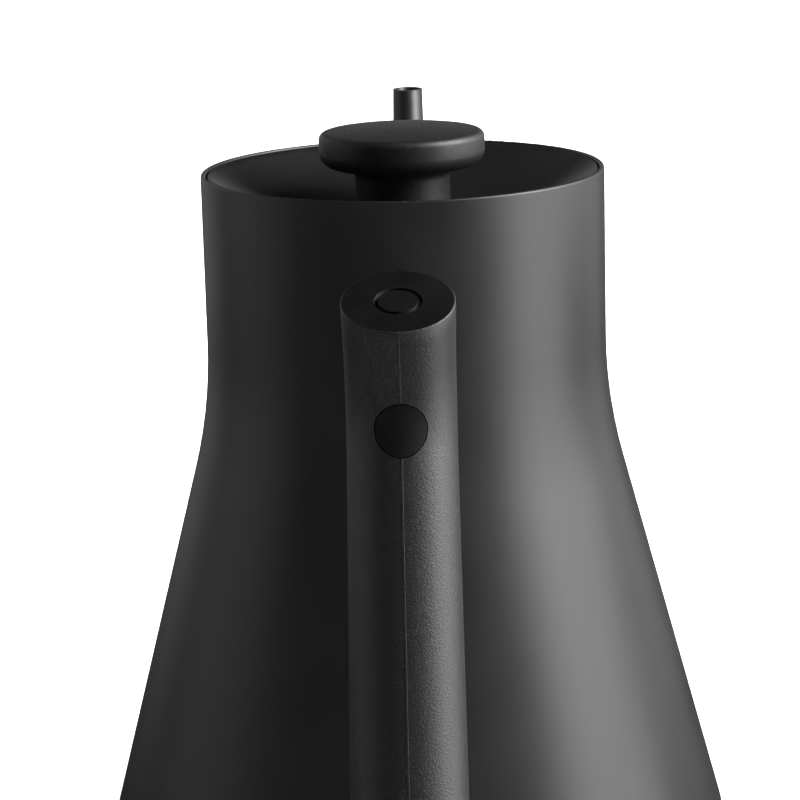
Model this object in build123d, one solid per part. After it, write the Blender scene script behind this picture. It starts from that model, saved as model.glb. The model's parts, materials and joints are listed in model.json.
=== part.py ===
from build123d import *
import os
from math import asin, cos, degrees, pi, radians, sin, sqrt, tan

# Gooseneck kettle of the cordless electric kind, lid in place.
# +Z is up, the body's axis is the Z axis and the origin is the middle of the foot ring's
# underside. The handle stands on the -Y side and the spout on the +Y side. Millimetres.

# ---- Body shell: spun sheet steel, a straight neck over a cone ----
RIM_RADIUS = 45.0
RIM_HEIGHT = 165.0
NECK_LENGTH = 38.0
SHOULDER_RADIUS = 112.8
CONE_HALF_ANGLE = 14.9
BASE_EDGE_RADIUS = 9.0
LIP_HEIGHT = 4.0
LIP_WIDTH = 5.6
SHELL_WALL = 0.8
RIM_HEM_WALL = 1.1
RIM_HEM_DEPTH = 5.0

# ---- Chamber floor and what is brazed or welded under it ----
FLOOR_HEIGHT = 26.0
FLOOR_WALL = 0.8
FLOOR_FLANGE = 6.0
SPREADER_MARGIN = 13.1
SPREADER_WALL = 3.0
ELEMENT_PILLAR_GAP = 1.2
ELEMENT_TUBE_RADIUS = 3.3
ELEMENT_ELBOW_RADIUS = 6.0
ELEMENT_END_GAP = 2.7
TAB_WIDTH = 6.3
TAB_WALL = 0.8
TAB_LENGTH = 7.0
PILLAR_RADIUS = 3.0
PILLAR_DEPTH = 8.0

# ---- Temperature probe ----
PROBE_RADIUS = 2.0
PROBE_REACH = 12.0
PROBE_TAIL = 9.0
PROBE_ANGLE = 150.0
GROMMET_RADIUS = 4.0
GROMMET_FLANGE_RADIUS = 6.0
GROMMET_FLANGE_WALL = 1.2

# ---- Cordless connector under the floor ----
SOCKET_RADIUS = 16.9
SOCKET_DEPTH = 11.0
CONNECTOR_RADIUS = 22.0
CONNECTOR_HEIGHT = 17.0
CONNECTOR_BASE = 2.0
EAR_RADIUS = 4.0
EAR_WALL = 3.0
EAR_HEIGHT = 9.0
EAR_ANGLES = (0.0, 120.0, 240.0)
CONTACT_SEAT = 2.0
LIVE_PIN_RADIUS = 2.0
LIVE_PIN_REACH = 9.0
CONTACT_WALL = 0.8
NEUTRAL_RING_RADIUS = 7.0
NEUTRAL_RING_REACH = 8.0
EARTH_RING_RADIUS = 11.0
EARTH_RING_REACH = 9.0
SIGNAL_RING_WALL = 0.6
SIGNAL_RING_REACH = 7.0
BLADE_WIDTH = 4.8
BLADE_REACH = 7.0
BLADE_HEIGHT = 14.0
LIVE_BLADE_ANGLE = 50.0
NEUTRAL_BLADE_ANGLE = -50.0
EARTH_BLADE_ANGLE = 85.0
SIGNAL_BLADE_ANGLE = 180.0
CUTOUT_RADIUS = 6.5
CUTOUT_SPREAD = 10.0
LEAD_RADIUS = 1.1
LEAD_HOUSING_GAP = 1.5
LEAD_SHEATH_GAP = 0.2
LEAD_DIP = 1.5
LEAD_ELEMENT_OVERLAP = 1.0
LEAD_ROUTE_SHARE = 0.62
LEAD_BEND_SHARE = 0.45
EARTH_LEAD_GAP = 1.65
PROBE_LEAD_INSET = 3.0
PROBE_LEAD_DIP = 3.0

# ---- Base cover, its seal, screws and foot ring ----
COVER_UNDERSIDE = 1.2
COVER_WALL = 2.2
COVER_MARGIN = 0.6
SPIGOT_HEIGHT = 3.4
SPIGOT_WALL = 2.0
SEAL_WIDTH = 3.0
COVER_SCREW_INSET = 7.0
COVER_SCREW_ANGLES = (60.0, 180.0, 300.0)
COVER_BOSS_RADIUS = 4.2
COVER_BOSS_TOP = 8.0
FOOT_RING_MARGIN = 3.7
FOOT_RING_WIDTH = 4.0
FOOT_RING_INSET = 1.0

# ---- Small screws, shared by the connector and the base cover ----
SCREW_RADIUS = 1.5
SCREW_HEAD_RADIUS = 2.8
SCREW_HEAD_HEIGHT = 1.6
SCREW_GRIP = 6.0
SCREW_RECESS_RADIUS = 1.2
SCREW_RECESS_DEPTH = 0.9

# ---- Spout: a tapered tube bent into a gooseneck ----
SPOUT_ROOT_HEIGHT = 34.0
SPOUT_ROOT_SINK = 13.8
SPOUT_LOWER_BEND_REACH = 33.2
SPOUT_LOWER_BEND_HEIGHT = 60.0
SPOUT_UPPER_BEND_REACH = 63.0
SPOUT_MOUTH_REACH = 82.0
SPOUT_OVERRUN = 7.0
SPOUT_LOWER_BEND_RADIUS = 46.0
SPOUT_UPPER_BEND_RADIUS = 90.0
SPOUT_RISE = 1.7
SPOUT_TIP_RADIUS = 3.75
SPOUT_ROOT_RADIUS = 14.0
SPOUT_FLARE = 3.2
SPOUT_TAPER = 0.75
SPOUT_WALL = 0.8
SPOUT_SECTIONS = 13
RESTRICTOR_PLACE = 0.17
RESTRICTOR_WALL = 1.0
RESTRICTOR_HOLE_RADIUS = 3.0

# ---- Handle: a bent bar held off the neck by one arm ----
ARM_DROP = 35.4
HANDLE_STANDOFF = 41.8
HANDLE_BEND_RISE = 3.1
HANDLE_UPPER_TILT = 21.0
HANDLE_LOWER_TILT = 18.2
HANDLE_UPPER_LENGTH = 22.9
HANDLE_LOWER_LENGTH = 113.0
HANDLE_BEND_RADIUS = 30.0
HANDLE_TOP_RADIUS = 11.15
HANDLE_WAIST_RADIUS = 10.95
HANDLE_BOTTOM_RADIUS = 11.9
HANDLE_EDGE = 0.35
MARK_RADIUS = 4.75
MARK_WIDTH = 0.9
MARK_DEPTH = 0.45
WEIGHT_RADIUS = 8.0
WEIGHT_START = 24.0
WEIGHT_LENGTH = 76.0
END_CAP_WALL = 2.5
END_CAP_SPIGOT = 8.0
END_CAP_EDGE = 1.2
ARM_RADIUS = 7.5
ARM_ROOT_RADIUS = 9.5
ARM_SEAT_DEPTH = 4.0
ARM_COLLAR = 1.0
ARM_BOSS_RADIUS = 6.0
ARM_BOSS_LENGTH = 15.0
HANDLE_SCREW_RADIUS = 2.5
HANDLE_SCREW_HEAD_RADIUS = 4.25
HANDLE_SCREW_HEAD_HEIGHT = 5.0
HANDLE_SCREW_LENGTH = 40.0
HANDLE_SCREW_SOCKET = 2.0
HANDLE_WASHER_RADIUS = 5.0
HANDLE_WASHER_WALL = 1.0
HANDLE_WEB = 9.0
PLUG_RADIUS = 5.05

# ---- Lid: a dished top over a stepped liner, and the ring it rests on ----
LID_GAP = 0.4
LID_DROP = 0.3
LID_SHEET = 0.8
LID_EDGE_RADIUS = 0.5
LID_SKIRT = 4.0
LID_BROW = 1.2
DISH_DEPTH = 10.5
DISH_RADIUS = 96.0
DISH_FLAT_RADIUS = 11.2
LINER_SHEET = 0.6
LINER_RIM_GAP = 1.2
LINER_BOTTOM_DROP = 25.0
LID_SEAT_DROP = 14.0
SEAT_FLANGE = 3.6
SEAT_HEIGHT = 5.0
SEAT_SHEET = 0.8
SEAT_CLEARANCE = 0.8
LID_SEAL_DROP = 7.0
LID_SEAL_HEIGHT = 5.0
LID_SEAL_LIP = 0.5
LID_SEAL_CLEARANCE = 0.5
LID_SEAL_LIPS = 3
VENT_RADIUS = 1.3
VENT_PLACE = 24.0

# ---- Lid knob, its insert, spacer and screw ----
KNOB_RADIUS = 18.5
KNOB_RISE = 8.4
KNOB_DOME = 0.6
KNOB_EDGE_RADIUS = 1.6
KNOB_UNDERCUT_RADIUS = 3.6
KNOB_UNDERSIDE_RISE = 0.6
KNOB_STEM_RADIUS = 10.6
KNOB_FILLET_RADIUS = 2.4
INSERT_RADIUS = 4.0
INSERT_HEIGHT = 12.0
SPACER_RADIUS = 5.0
SPACER_BORE_RADIUS = 3.2
KNOB_SCREW_RADIUS = 2.0
KNOB_SCREW_HEAD_RADIUS = 3.75
KNOB_SCREW_HEAD_HEIGHT = 2.4
KNOB_SCREW_GRIP = 10.0
KNOB_WASHER_RADIUS = 6.0
KNOB_WASHER_WALL = 1.0

# ---- Clearances ----
SCREW_CLEARANCE = 0.3
THREAD_CLEARANCE = 0.02
SLIP_CLEARANCE = 0.2
COVER_CLEARANCE = 0.3
HOLE_CLEARANCE = 0.5

# ---- Places worked out from the sizes above ----
NECK_BOTTOM = RIM_HEIGHT - NECK_LENGTH
SLOPE = radians(CONE_HALF_ANGLE)
BLEND_CENTRE = RIM_RADIUS + SHOULDER_RADIUS
CONE_TOP = NECK_BOTTOM - SHOULDER_RADIUS * sin(SLOPE)
CONE_TOP_RADIUS = BLEND_CENTRE - SHOULDER_RADIUS * cos(SLOPE)
CONE_OFFSET = CONE_TOP_RADIUS * cos(SLOPE) + CONE_TOP * sin(SLOPE)
EDGE_CENTRE_HEIGHT = LIP_HEIGHT + BASE_EDGE_RADIUS
EDGE_CENTRE_RADIUS = (
    CONE_OFFSET - BASE_EDGE_RADIUS - EDGE_CENTRE_HEIGHT * sin(SLOPE)
) / cos(SLOPE)
LIP_INNER_RADIUS = EDGE_CENTRE_RADIUS - LIP_WIDTH
COVER_RADIUS = EDGE_CENTRE_RADIUS - COVER_MARGIN
COVER_SCREW_CIRCLE_RADIUS = LIP_INNER_RADIUS - COVER_SCREW_INSET
FOOT_RING_RADIUS = COVER_RADIUS - FOOT_RING_MARGIN
ELEMENT_RADIUS = (
    COVER_SCREW_CIRCLE_RADIUS - PILLAR_RADIUS - ELEMENT_PILLAR_GAP - ELEMENT_TUBE_RADIUS
)
EAR_CIRCLE_RADIUS = (CONNECTOR_RADIUS + ELEMENT_RADIUS - ELEMENT_TUBE_RADIUS) / 2
SPREADER_UNDERSIDE = FLOOR_HEIGHT - SPREADER_WALL
ELEMENT_HEIGHT = SPREADER_UNDERSIDE - ELEMENT_TUBE_RADIUS
CONNECTOR_TOP = CONNECTOR_BASE + CONNECTOR_HEIGHT
SOCKET_TOP = CONNECTOR_BASE + SOCKET_DEPTH
BLADE_TIP_RADIUS = CONNECTOR_RADIUS + BLADE_REACH
COVER_TOP = COVER_UNDERSIDE + COVER_WALL
NECK_BORE_RADIUS = RIM_RADIUS - SHELL_WALL
LID_RADIUS = RIM_RADIUS - RIM_HEM_WALL - LID_GAP
LID_TOP = RIM_HEIGHT - LID_DROP
LID_SKIRT_BORE = LID_RADIUS - LID_SHEET
DISH_HEIGHT = LID_TOP - DISH_DEPTH
SEAT_TOP = RIM_HEIGHT - LID_SEAT_DROP
SEAT_BORE_RADIUS = NECK_BORE_RADIUS - SEAT_FLANGE
LINER_BOTTOM = RIM_HEIGHT - LINER_BOTTOM_DROP
LINER_LOWER_RADIUS = SEAT_BORE_RADIUS - SEAT_CLEARANCE
ARM_HEIGHT = RIM_HEIGHT - ARM_DROP
HANDLE_REACH = RIM_RADIUS + HANDLE_STANDOFF
HANDLE_BEND_HEIGHT = ARM_HEIGHT + HANDLE_BEND_RISE
BACK = HANDLE_REACH + HANDLE_BOTTOM_RADIUS + HANDLE_BEND_RADIUS


def at_angle(radius, angle, height):
    """Point at a radius and angle round the body's axis."""
    turn = radians(angle)
    return (radius * cos(turn), radius * sin(turn), height)


def disc(radius, low, high):
    """Upright cylinder on the body's axis, between two heights."""
    return extrude(Pos(0, 0, low) * Circle(radius), high - low)


def ring(inner, outer, low, high):
    """Upright tube on the body's axis, between two heights."""
    return disc(outer, low, high) - disc(inner, low, high)


def turned(outline):
    """Solid turned about the body's axis from a closed outline of radius and height."""
    return revolve(Plane.XZ * make_face(outline), Axis.Z)


def post(place, radius, low, high):
    """Upright cylinder through a point, between two heights."""
    return Pos(place[0], place[1], 0) * disc(radius, low, high)


def along_arm(radius, near, far, end_radius=None):
    """Level bar on the arm's axis, from one distance off the body's axis to another."""
    end = radius if end_radius is None else end_radius
    start = Plane(origin=(0, -near, ARM_HEIGHT), x_dir=(1, 0, 0), z_dir=(0, -1, 0))
    if end == radius:
        return extrude(start * Circle(radius), far - near)
    return loft([start * Circle(radius), start.offset(far - near) * Circle(end)])


def body_radius(height, inset):
    """Radius of the body's outline at a height above the lip, moved inwards by an inset."""
    drop = NECK_BOTTOM - height
    blend = SHOULDER_RADIUS + inset
    if drop <= 0:
        return RIM_RADIUS - inset
    if drop < blend * sin(SLOPE):
        return BLEND_CENTRE - sqrt(blend**2 - drop**2)
    return (CONE_OFFSET - inset - height * sin(SLOPE)) / cos(SLOPE)


def body_curve(inset, top, lip_radius):
    """Body's outline from a height on the neck down to the lip, moved inwards by an inset."""
    blend = SHOULDER_RADIUS + inset
    edge = BASE_EDGE_RADIUS - inset
    neck = (RIM_RADIUS - inset, NECK_BOTTOM)
    shoulder_half = (
        BLEND_CENTRE - blend * cos(SLOPE / 2),
        NECK_BOTTOM - blend * sin(SLOPE / 2),
    )
    shoulder = (
        BLEND_CENTRE - blend * cos(SLOPE),
        NECK_BOTTOM - blend * sin(SLOPE),
    )
    edge_top = (
        EDGE_CENTRE_RADIUS + edge * cos(SLOPE),
        EDGE_CENTRE_HEIGHT + edge * sin(SLOPE),
    )
    half_turn = SLOPE / 2 - pi / 4
    edge_half = (
        EDGE_CENTRE_RADIUS + edge * cos(half_turn),
        EDGE_CENTRE_HEIGHT + edge * sin(half_turn),
    )
    edge_low = (EDGE_CENTRE_RADIUS, LIP_HEIGHT + inset)
    return (
        Line((RIM_RADIUS - inset, top), neck)
        + ThreePointArc(neck, shoulder_half, shoulder)
        + Line(shoulder, edge_top)
        + ThreePointArc(edge_top, edge_half, edge_low)
        + Line(edge_low, (lip_radius, LIP_HEIGHT + inset))
    )


def body_envelope():
    """Everything inside the shell's outer surface, as one plug."""
    outline = body_curve(0.0, RIM_HEIGHT, 0.0) + Polyline(
        (0, LIP_HEIGHT), (0, RIM_HEIGHT), (RIM_RADIUS, RIM_HEIGHT)
    )
    return turned(outline)


def body_shell(spout_bore):
    """Spun shell with a hemmed rim, a turned-in lip and the hole that feeds the spout."""
    half_hem = RIM_HEM_WALL / 2
    crown = RIM_HEIGHT - half_hem
    hem_bottom = RIM_HEIGHT - RIM_HEM_DEPTH
    outline = (
        body_curve(0.0, crown, LIP_INNER_RADIUS)
        + Line(
            (LIP_INNER_RADIUS, LIP_HEIGHT),
            (LIP_INNER_RADIUS, LIP_HEIGHT + SHELL_WALL),
        )
        + body_curve(SHELL_WALL, hem_bottom, LIP_INNER_RADIUS)
        + Polyline(
            (NECK_BORE_RADIUS, hem_bottom),
            (RIM_RADIUS - RIM_HEM_WALL, hem_bottom + half_hem),
            (RIM_RADIUS - RIM_HEM_WALL, crown),
        )
        + ThreePointArc(
            (RIM_RADIUS - RIM_HEM_WALL, crown),
            (RIM_RADIUS - half_hem, RIM_HEIGHT),
            (RIM_RADIUS, crown),
        )
    )
    return turned(outline) - spout_bore


def lid_seat():
    """Ring welded in the neck, with the inward flange that the lid rests on."""
    upright = ring(
        NECK_BORE_RADIUS - SEAT_SHEET, NECK_BORE_RADIUS, SEAT_TOP - SEAT_HEIGHT, SEAT_TOP
    )
    flange = ring(SEAT_BORE_RADIUS, NECK_BORE_RADIUS, SEAT_TOP - SEAT_SHEET, SEAT_TOP)
    return upright + flange


def chamber_floor():
    """Floor of the water chamber, its flange turned up along the cone and welded to it."""
    flange_top = FLOOR_HEIGHT + FLOOR_FLANGE
    sheet_top = FLOOR_HEIGHT + FLOOR_WALL
    flange_wall = SHELL_WALL + FLOOR_WALL
    outline = Polyline(
        (0, FLOOR_HEIGHT),
        (body_radius(FLOOR_HEIGHT, SHELL_WALL), FLOOR_HEIGHT),
        (body_radius(flange_top, SHELL_WALL), flange_top),
        (body_radius(flange_top, flange_wall), flange_top),
        (body_radius(sheet_top, flange_wall), sheet_top),
        (0, sheet_top),
        close=True,
    )
    hole = post(probe_place(), GROMMET_RADIUS, FLOOR_HEIGHT, sheet_top)
    return turned(outline) - hole


def heat_spreader():
    """Aluminium disc brazed to the floor, which carries the element's heat across it."""
    outer = body_radius(FLOOR_HEIGHT, SHELL_WALL) - SPREADER_MARGIN
    plate = disc(outer, SPREADER_UNDERSIDE, FLOOR_HEIGHT)
    reach = GROMMET_RADIUS + HOLE_CLEARANCE
    return plate - post(probe_place(), reach, SPREADER_UNDERSIDE, FLOOR_HEIGHT)


def element_ends():
    """Where a power lead drops from its tab in X, and where the cold ends stop in X and Y."""
    end_y = PILLAR_RADIUS + ELEMENT_END_GAP + ELEMENT_TUBE_RADIUS
    reach = CONNECTOR_RADIUS + LEAD_HOUSING_GAP + LEAD_RADIUS
    drop_x = sqrt(reach**2 - end_y**2)
    return drop_x, drop_x + LEAD_RADIUS + LEAD_SHEATH_GAP, end_y


def heating_element():
    """Sheathed ring element, open towards +X, where both ends turn in as cold ends."""
    end_x, end_y = element_ends()[1:]
    elbow_circle = ELEMENT_RADIUS - ELEMENT_ELBOW_RADIUS
    gap = degrees(asin((end_y + ELEMENT_ELBOW_RADIUS) / elbow_circle))
    loop = CenterArc((0, 0, 0), ELEMENT_RADIUS, gap, 360 - 2 * gap)
    path = loop
    for side in (1, -1):
        start = at_angle(ELEMENT_RADIUS, side * gap, 0)
        centre = at_angle(elbow_circle, side * gap, 0)
        low = (centre[0], centre[1] - side * ELEMENT_ELBOW_RADIUS, 0)
        middle_turn = radians(side * (gap - 90) / 2)
        middle = (
            centre[0] + ELEMENT_ELBOW_RADIUS * cos(middle_turn),
            centre[1] + ELEMENT_ELBOW_RADIUS * sin(middle_turn),
            0,
        )
        path = path + ThreePointArc(start, middle, low) + Line(low, (end_x, low[1], 0))
    path = Pos(0, 0, ELEMENT_HEIGHT) * path
    section = Plane(origin=(end_x, end_y, ELEMENT_HEIGHT), z_dir=(1, 0, 0)) * Circle(
        ELEMENT_TUBE_RADIUS
    )
    return sweep(section, path)


def element_tabs():
    """Blade on each of the element's cold ends."""
    end_x, end_y = element_ends()[1:]
    blades = []
    for side in (1, -1):
        centre = (end_x - TAB_LENGTH / 2, side * end_y, ELEMENT_HEIGHT)
        blades.append(Pos(*centre) * Box(TAB_LENGTH, TAB_WIDTH, TAB_WALL))
    return blades


def probe_place():
    """Where the temperature probe goes through the floor, on the ears' circle."""
    return at_angle(EAR_CIRCLE_RADIUS, PROBE_ANGLE, 0)


def temperature_probe():
    """Closed steel tube that stands in the water, round at its top."""
    top = FLOOR_HEIGHT + PROBE_REACH
    probe = post(probe_place(), PROBE_RADIUS, FLOOR_HEIGHT - PROBE_TAIL, top)
    tip = probe.edges().sort_by(Axis.Z)[-1]
    return fillet(tip, PROBE_RADIUS * 0.9)


def probe_grommet():
    """Silicone grommet that seals the probe in the floor."""
    sheet_top = FLOOR_HEIGHT + FLOOR_WALL
    place = probe_place()
    body = post(place, GROMMET_RADIUS, SPREADER_UNDERSIDE, sheet_top)
    flange_top = sheet_top + GROMMET_FLANGE_WALL
    flange = post(place, GROMMET_FLANGE_RADIUS, sheet_top, flange_top)
    return body + flange - post(place, PROBE_RADIUS, SPREADER_UNDERSIDE, flange_top)


def screw(place, underside, grip):
    """Pan-head screw that points up, from the underside of its head to its tip."""
    head = post(place, SCREW_HEAD_RADIUS, underside - SCREW_HEAD_HEIGHT, underside)
    shank = post(place, SCREW_RADIUS, underside, underside + grip)
    low = underside - SCREW_HEAD_HEIGHT
    recess = post(place, SCREW_RECESS_RADIUS, low, low + SCREW_RECESS_DEPTH)
    return head + shank - recess


def ear_places():
    """Centres of the connector's three ears."""
    return [at_angle(EAR_CIRCLE_RADIUS, angle, 0) for angle in EAR_ANGLES]


def cover_screw_places():
    """Centres of the base cover's three bosses."""
    return [
        at_angle(COVER_SCREW_CIRCLE_RADIUS, angle, 0) for angle in COVER_SCREW_ANGLES
    ]


def pillars():
    """Threaded pillars under the spreader: three for the connector, three for the cover."""
    ear_top = EAR_HEIGHT + EAR_WALL
    made = []
    for places, low in ((ear_places(), ear_top), (cover_screw_places(), COVER_BOSS_TOP)):
        for place in places:
            hole = post(place, SCREW_RADIUS + THREAD_CLEARANCE, low, low + PILLAR_DEPTH)
            made.append(post(place, PILLAR_RADIUS, low, SPREADER_UNDERSIDE) - hole)
    return made


def contact_ring(inner, wall, reach):
    """Tubular contact that hangs in the socket, its root let into the housing."""
    return ring(inner, inner + wall, SOCKET_TOP - reach, SOCKET_TOP + CONTACT_SEAT)


def live_pin():
    """Centre contact, round at its lower end."""
    pin = disc(LIVE_PIN_RADIUS, SOCKET_TOP - LIVE_PIN_REACH, SOCKET_TOP + CONTACT_SEAT)
    tip = pin.edges().sort_by(Axis.Z)[0]
    return fillet(tip, LIVE_PIN_RADIUS * 0.9)


def neutral_ring():
    """Inner ring contact."""
    return contact_ring(NEUTRAL_RING_RADIUS, CONTACT_WALL, NEUTRAL_RING_REACH)


def earth_ring():
    """Outer ring contact, which meets its partner first."""
    return contact_ring(EARTH_RING_RADIUS, CONTACT_WALL, EARTH_RING_REACH)


def signal_ring():
    """Ring that lines the socket's wall and carries the probe's signal."""
    inner = SOCKET_RADIUS - SIGNAL_RING_WALL
    return contact_ring(inner, SIGNAL_RING_WALL, SIGNAL_RING_REACH)


def blade_angles():
    """Where the four connection blades leave the housing."""
    return (
        LIVE_BLADE_ANGLE,
        NEUTRAL_BLADE_ANGLE,
        EARTH_BLADE_ANGLE,
        SIGNAL_BLADE_ANGLE,
    )


def connector_blades():
    """Flat blades that stand out of the housing for the leads."""
    length = BLADE_REACH + CONTACT_SEAT
    middle = BLADE_TIP_RADIUS - length / 2
    blade = Pos(middle, 0, BLADE_HEIGHT) * Box(length, BLADE_WIDTH, TAB_WALL)
    return [Rot(0, 0, angle) * blade for angle in blade_angles()]


def connector_housing(contacts, blades):
    """Moulded socket with three ears, slotted for its contacts and blades."""
    body = disc(CONNECTOR_RADIUS, CONNECTOR_BASE, CONNECTOR_TOP)
    body -= disc(SOCKET_RADIUS, CONNECTOR_BASE, SOCKET_TOP)
    ear_top = EAR_HEIGHT + EAR_WALL
    root = (CONNECTOR_RADIUS + SOCKET_RADIUS) / 2
    middle = (root + EAR_CIRCLE_RADIUS) / 2
    rib = Pos(middle, 0, (EAR_HEIGHT + ear_top) / 2) * Box(
        EAR_CIRCLE_RADIUS - root, 2 * EAR_RADIUS, EAR_WALL
    )
    for angle, place in zip(EAR_ANGLES, ear_places()):
        body += Rot(0, 0, angle) * rib
        body += post(place, EAR_RADIUS, EAR_HEIGHT, ear_top)
        body -= post(place, SCREW_RADIUS + SCREW_CLEARANCE, EAR_HEIGHT, ear_top)
    for piece in contacts + blades:
        body -= piece
    return body


def thermal_cutouts():
    """Two bimetal cut-outs between the connector and the heat spreader."""
    made = []
    for side in (1, -1):
        place = (0, side * CUTOUT_SPREAD)
        made.append(post(place, CUTOUT_RADIUS, CONNECTOR_TOP, SPREADER_UNDERSIDE))
    return made


def lead(*route):
    """Insulated lead along a route, each corner as round as its two runs allow."""
    points = [Vector(*point) for point in route]
    bends = []
    for before, corner, after in zip(points, points[1:], points[2:]):
        turn = radians((corner - before).get_angle(after - corner))
        shorter = min((corner - before).length, (after - corner).length)
        bends.append(LEAD_BEND_SHARE * shorter / tan(turn / 2))
    path = FilletPolyline(*points, radius=bends)
    start = Plane(origin=points[0], z_dir=points[1] - points[0])
    return sweep(start * Circle(LEAD_RADIUS), path)


def power_lead(side, blade_angle):
    """Lead from an element tab down, round under the element and in to a blade."""
    drop_x = element_ends()[0]
    end_y = side * element_ends()[2]
    outer = ELEMENT_RADIUS - LEAD_ELEMENT_OVERLAP
    low = BLADE_HEIGHT - LEAD_DIP
    return lead(
        (drop_x, end_y, ELEMENT_HEIGHT - TAB_WALL / 2),
        (drop_x, end_y, low),
        at_angle(outer, blade_angle * LEAD_ROUTE_SHARE, low),
        at_angle(outer, blade_angle, BLADE_HEIGHT),
        at_angle(BLADE_TIP_RADIUS, blade_angle, BLADE_HEIGHT),
    )


def earth_lead():
    """Lead from the earth blade out and up to the heat spreader."""
    corner_radius = ELEMENT_RADIUS - ELEMENT_TUBE_RADIUS - LEAD_RADIUS - EARTH_LEAD_GAP
    return lead(
        at_angle(BLADE_TIP_RADIUS, EARTH_BLADE_ANGLE, BLADE_HEIGHT),
        at_angle(corner_radius, EARTH_BLADE_ANGLE, BLADE_HEIGHT),
        at_angle(corner_radius, EARTH_BLADE_ANGLE, SPREADER_UNDERSIDE),
    )


def probe_lead():
    """Lead from the probe down, outwards and back in to the signal blade."""
    probe = probe_place()
    outer = ELEMENT_RADIUS - PROBE_LEAD_INSET
    low = BLADE_HEIGHT - PROBE_LEAD_DIP
    middle_angle = (PROBE_ANGLE + SIGNAL_BLADE_ANGLE) / 2
    return lead(
        (probe[0], probe[1], FLOOR_HEIGHT - PROBE_TAIL),
        (probe[0], probe[1], low),
        at_angle(outer, middle_angle, low),
        at_angle(outer, SIGNAL_BLADE_ANGLE, BLADE_HEIGHT),
        at_angle(BLADE_TIP_RADIUS, SIGNAL_BLADE_ANGLE, BLADE_HEIGHT),
    )


def base_cover():
    """Moulded cover under the base: plate, spigot inside the lip and three screw bosses."""
    spigot_outer = LIP_INNER_RADIUS - SLIP_CLEARANCE
    cover = disc(COVER_RADIUS, COVER_UNDERSIDE, COVER_TOP)
    cover += ring(
        spigot_outer - SPIGOT_WALL, spigot_outer, COVER_TOP, COVER_TOP + SPIGOT_HEIGHT
    )
    for place in cover_screw_places():
        cover += post(place, COVER_BOSS_RADIUS, COVER_TOP, COVER_BOSS_TOP)
    cover -= disc(CONNECTOR_RADIUS + COVER_CLEARANCE, COVER_UNDERSIDE, COVER_TOP)
    head_seat = COVER_TOP - SLIP_CLEARANCE
    for place in cover_screw_places():
        hole = SCREW_RADIUS + SCREW_CLEARANCE
        sink = SCREW_HEAD_RADIUS + SCREW_CLEARANCE
        cover -= post(place, hole, COVER_UNDERSIDE, COVER_BOSS_TOP)
        cover -= post(place, sink, COVER_UNDERSIDE, head_seat)
    groove_top = COVER_UNDERSIDE + FOOT_RING_INSET
    inner = FOOT_RING_RADIUS - FOOT_RING_WIDTH
    return cover - ring(inner, FOOT_RING_RADIUS, COVER_UNDERSIDE, groove_top)


def base_seal():
    """Flat silicone ring squeezed between the cover and the shell's lip."""
    outer = COVER_RADIUS - COVER_CLEARANCE
    return ring(outer - SEAL_WIDTH, outer, COVER_TOP, LIP_HEIGHT)


def foot_ring():
    """Silicone ring that the kettle stands on."""
    inner = FOOT_RING_RADIUS - FOOT_RING_WIDTH
    return ring(inner, FOOT_RING_RADIUS, 0, COVER_UNDERSIDE + FOOT_RING_INSET)


def spout_centreline():
    """Line of the gooseneck, from inside the body to above its mouth."""
    wall = body_radius(SPOUT_ROOT_HEIGHT, 0.0)
    bends = (SPOUT_LOWER_BEND_RADIUS, SPOUT_UPPER_BEND_RADIUS)
    return FilletPolyline(
        (0, wall - SPOUT_ROOT_SINK, SPOUT_ROOT_HEIGHT),
        (0, wall + SPOUT_LOWER_BEND_REACH, SPOUT_LOWER_BEND_HEIGHT),
        (0, RIM_RADIUS + SPOUT_UPPER_BEND_REACH, NECK_BOTTOM),
        (0, RIM_RADIUS + SPOUT_MOUTH_REACH, RIM_HEIGHT + SPOUT_OVERRUN),
        radius=bends,
    )


def spout_radius(place):
    """Outer radius of the spout at a place along it, from 0 at its root to 1 at its mouth."""
    swell = (1 - place) ** SPOUT_FLARE
    slender = SPOUT_TIP_RADIUS * (1 + SPOUT_TAPER * (1 - place))
    return slender + (SPOUT_ROOT_RADIUS - SPOUT_TIP_RADIUS * (1 + SPOUT_TAPER)) * swell


def spout_solid(inset):
    """Solid spout of circular sections along the centreline, drawn in by an inset."""
    line = spout_centreline()
    sections = []
    for step in range(SPOUT_SECTIONS):
        place = step / (SPOUT_SECTIONS - 1)
        section = Plane(origin=line @ place, x_dir=(1, 0, 0), z_dir=line % place)
        sections.append(section * Circle(spout_radius(place) - inset))
    return loft(sections)


def spout_tube(bore, envelope):
    """Tapered tube welded to the shell, its mouth cut level."""
    mouth = RIM_HEIGHT + SPOUT_RISE
    reach = RIM_RADIUS + SPOUT_MOUTH_REACH + 4 * SPOUT_TIP_RADIUS
    waste = Pos(0, reach / 2, mouth) * Box(
        reach, reach, reach, align=(Align.CENTER, Align.CENTER, Align.MIN)
    )
    return spout_solid(0.0) - bore - envelope - waste


def flow_restrictor(bore):
    """Disc with one hole across the spout's root, which slows the pour."""
    line = spout_centreline()
    plane = Plane(
        origin=line @ RESTRICTOR_PLACE, x_dir=(1, 0, 0), z_dir=line % RESTRICTOR_PLACE
    )
    face = Circle(spout_radius(RESTRICTOR_PLACE)) - Circle(RESTRICTOR_HOLE_RADIUS)
    return extrude(plane * face, RESTRICTOR_WALL) & bore


def handle_planes():
    """Planes across the handle: at its bend looking up, and at its bend looking down."""
    bend = (0, -HANDLE_REACH, HANDLE_BEND_HEIGHT)
    upper = radians(HANDLE_UPPER_TILT)
    lower = radians(HANDLE_LOWER_TILT)
    up = Plane(origin=bend, x_dir=(1, 0, 0), z_dir=(0, -sin(upper), cos(upper)))
    down = Plane(origin=bend, x_dir=(1, 0, 0), z_dir=(0, -sin(lower), -cos(lower)))
    return up, down


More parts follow.
